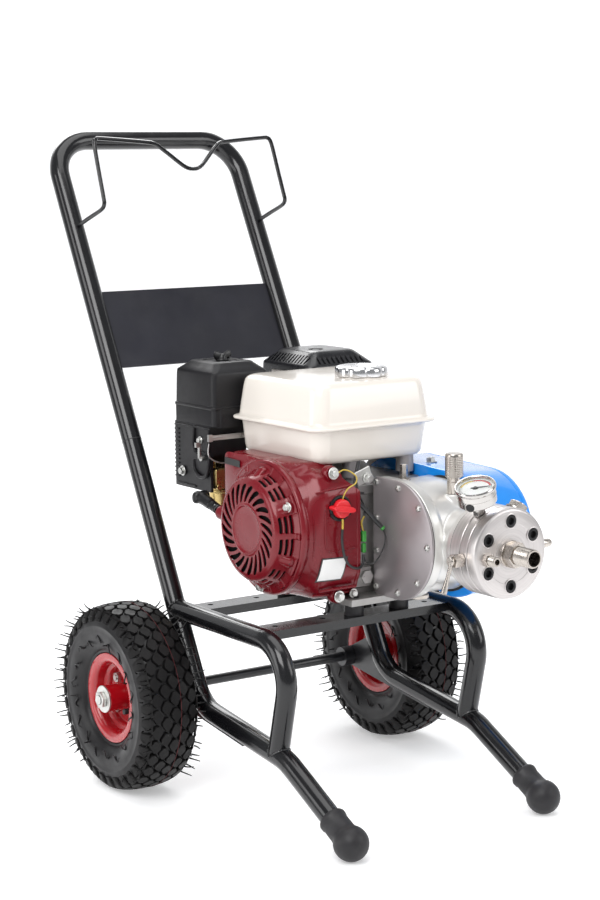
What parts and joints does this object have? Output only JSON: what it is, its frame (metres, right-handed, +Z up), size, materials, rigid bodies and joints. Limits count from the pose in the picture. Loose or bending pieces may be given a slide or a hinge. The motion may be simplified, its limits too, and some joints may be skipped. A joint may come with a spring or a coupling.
{
  "type": "petrol pump cart",
  "caption": "Two-wheeled tube-frame cart carrying a small petrol engine that belt-drives a high-pressure diaphragm pump, with push handle, hose hook and gauge.",
  "frame": {"origin": "floor level under the middle of the whole part", "axes": "+Z up, -Y towards the feet and pump head (front), +Y towards the push handle, +X towards the belt guard"},
  "size_m": [0.546, 0.8027, 0.9071],
  "materials": {
    "frame_black": "gloss black paint",
    "panel_black": "satin dark paint",
    "axle_steel": "turned steel",
    "zinc": "bright zinc plate",
    "rubber": "dark rubber",
    "tyre": "moulded tread rubber",
    "rim_red": "gloss red paint",
    "crimson": "gloss crimson paint",
    "cast_alloy": "as-cast alloy",
    "cast_iron": "raw cast iron",
    "switch_red": "satin red plastic",
    "gold": "yellow-passivated",
    "black_plastic": "fine-textured black plastic",
    "guard_black": "satin black heat paint",
    "muffler_steel": "heat-dulled steel",
    "ivory": "gloss ivory paint",
    "chrome": "polished chrome",
    "post_grey": "grey paint",
    "blue": "gloss blue paint",
    "pump_silver": "silver paint on casting",
    "plate_grey": "grey satin plate",
    "machined": "turned aluminium",
    "black_oxide": "black oxide",
    "stainless": "stainless",
    "nickel": "nickel-plated brass"
  },
  "bodies": {
    "cart": {"rail_left": "frame_black", "rail_right": "frame_black", "arm_left": "frame_black", "arm_right": "frame_black", "cross_rails": "frame_black", "axle_brackets": "frame_black", "axle": "axle_steel", "handle": "frame_black", "hose_hook": "frame_black", "name_panel": "panel_black", "foot_left": "rubber", "foot_right": "rubber", "axle_nuts": "zinc", "rubber_mounts": "rubber", "crankcase": "cast_alloy", "shroud": "crimson", "recoil_cover": "crimson", "cylinder_barrel": "cast_alloy", "cylinder_head": "cast_alloy", "carburettor": "gold", "air_base": "black_plastic", "air_cover": "black_plastic", "muffler": "muffler_steel", "muffler_guard": "guard_black", "tank": "ivory", "tank_posts": "post_grey", "wiring": "rubber", "belt": "rubber", "belt_guard": "blue", "pump_housing": "pump_silver", "side_plate": "plate_grey", "plate_screws": "zinc", "pump_head": "machined", "head_screws": "black_oxide", "gauge": "stainless", "head_plugs": "nickel", "drain_valve": "nickel", "inlet_fitting": "nickel", "outlet_fitting": "nickel"},
    "wheel_l": {"tyre_left": "tyre", "rim_left": "rim_red", "rim_bolts_left": "zinc"},
    "wheel_r": {"tyre_right": "tyre", "rim_right": "rim_red", "rim_bolts_right": "zinc"},
    "crank": {"crankshaft": "axle_steel", "flywheel": "cast_iron"},
    "pump_drive": {"pump_shaft": "axle_steel"},
    "grip": {"rope_grip": "rubber"},
    "switch": {"switch_knob": "switch_red"},
    "choke": {"choke_lever": "zinc"},
    "throttle": {"throttle_lever": "zinc"},
    "cap": {"tank_cap": "chrome"},
    "air_nut": {"wing_nut": "black_plastic"},
    "oil_plug": {"dipstick": "zinc"},
    "knob": {"pressure_knob": "nickel"},
    "needle": {"gauge_needle": "black_oxide"},
    "drain": {"drain_lever": "nickel"},
    "snap_l": {"snap_button_left": "zinc"},
    "snap_r": {"snap_button_right": "zinc"}
  },
  "joints": [
    {"name": "wheel_left", "type": "hinge", "parent": "cart", "child": "wheel_l", "pos_m": [-0.225, 0.06975, 0.13], "axis": [1, 0, 0], "continuous": true},
    {"name": "wheel_right", "type": "hinge", "parent": "cart", "child": "wheel_r", "pos_m": [0.225, 0.06975, 0.13], "axis": [1, 0, 0], "continuous": true},
    {"name": "crank_turn", "type": "hinge", "parent": "cart", "child": "crank", "pos_m": [0.065, -0.07025, 0.371], "axis": [1, 0, 0], "continuous": true},
    {"name": "pump_turn", "type": "hinge", "parent": "cart", "child": "pump_drive", "pos_m": [0.105, -0.19325, 0.357], "axis": [1, 0, 0], "continuous": true},
    {"name": "starter_pull", "type": "slide", "parent": "cart", "child": "grip", "axis": [0, 0.9684, 0.2496], "range_m": [0, 0.4], "stiffness_N_per_m": 8, "springref_m": -0.1},
    {"name": "engine_switch", "type": "hinge", "parent": "cart", "child": "switch", "pos_m": [-0.03, -0.16525, 0.404], "axis": [0, -1, 0], "range_deg": [0, 60]},
    {"name": "choke", "type": "hinge", "parent": "cart", "child": "choke", "pos_m": [-0.084, 0.09175, 0.446], "axis": [1, 0, 0], "range_deg": [-60, 0]},
    {"name": "throttle", "type": "slide", "parent": "cart", "child": "throttle", "axis": [1, 0, 0], "range_m": [-0.015, 0]},
    {"name": "fuel_cap", "type": "hinge", "parent": "cart", "child": "cap", "pos_m": [0.062, -0.08825, 0.575], "axis": [0, 0, 1], "range_deg": [0, 90]},
    {"name": "air_cleaner_nut", "type": "hinge", "parent": "cart", "child": "air_nut", "pos_m": [-0.028, 0.12575, 0.58], "axis": [0, 0, 1], "continuous": true},
    {"name": "oil_dipstick", "type": "hinge", "parent": "cart", "child": "oil_plug", "pos_m": [0.03, -0.13525, 0.3], "axis": [0, -1, 0], "continuous": true},
    {"name": "pressure_set", "type": "hinge", "parent": "cart", "child": "knob", "pos_m": [0.105, -0.23825, 0.45], "axis": [0, 0, 1], "range_deg": [0, 300]},
    {"name": "gauge_needle_turn", "type": "hinge", "parent": "cart", "child": "needle", "pos_m": [0.076, -0.32725, 0.406], "axis": [-0.3206, -0.1703, 0.9318], "range_deg": [-270, 0], "stiffness_Nm_per_rad": 0.0005, "springref_deg": 17.19},
    {"name": "drain_lever_turn", "type": "hinge", "parent": "cart", "child": "drain", "pos_m": [0.018, -0.32825, 0.351], "axis": [1, 0, 0], "range_deg": [0, 90]},
    {"name": "snap_left", "type": "slide", "parent": "cart", "child": "snap_l", "axis": [0, 0.8854, -0.4648], "range_m": [-0.004, 0], "stiffness_N_per_m": 400, "springref_m": 0.002},
    {"name": "snap_right", "type": "slide", "parent": "cart", "child": "snap_r", "axis": [0, 0.8854, -0.4648], "range_m": [-0.004, 0], "stiffness_N_per_m": 400, "springref_m": 0.002}
  ],
  "couplings": [
    {"joint": "pump_turn", "follows": "crank_turn", "ratio": 0.5}
  ]
}
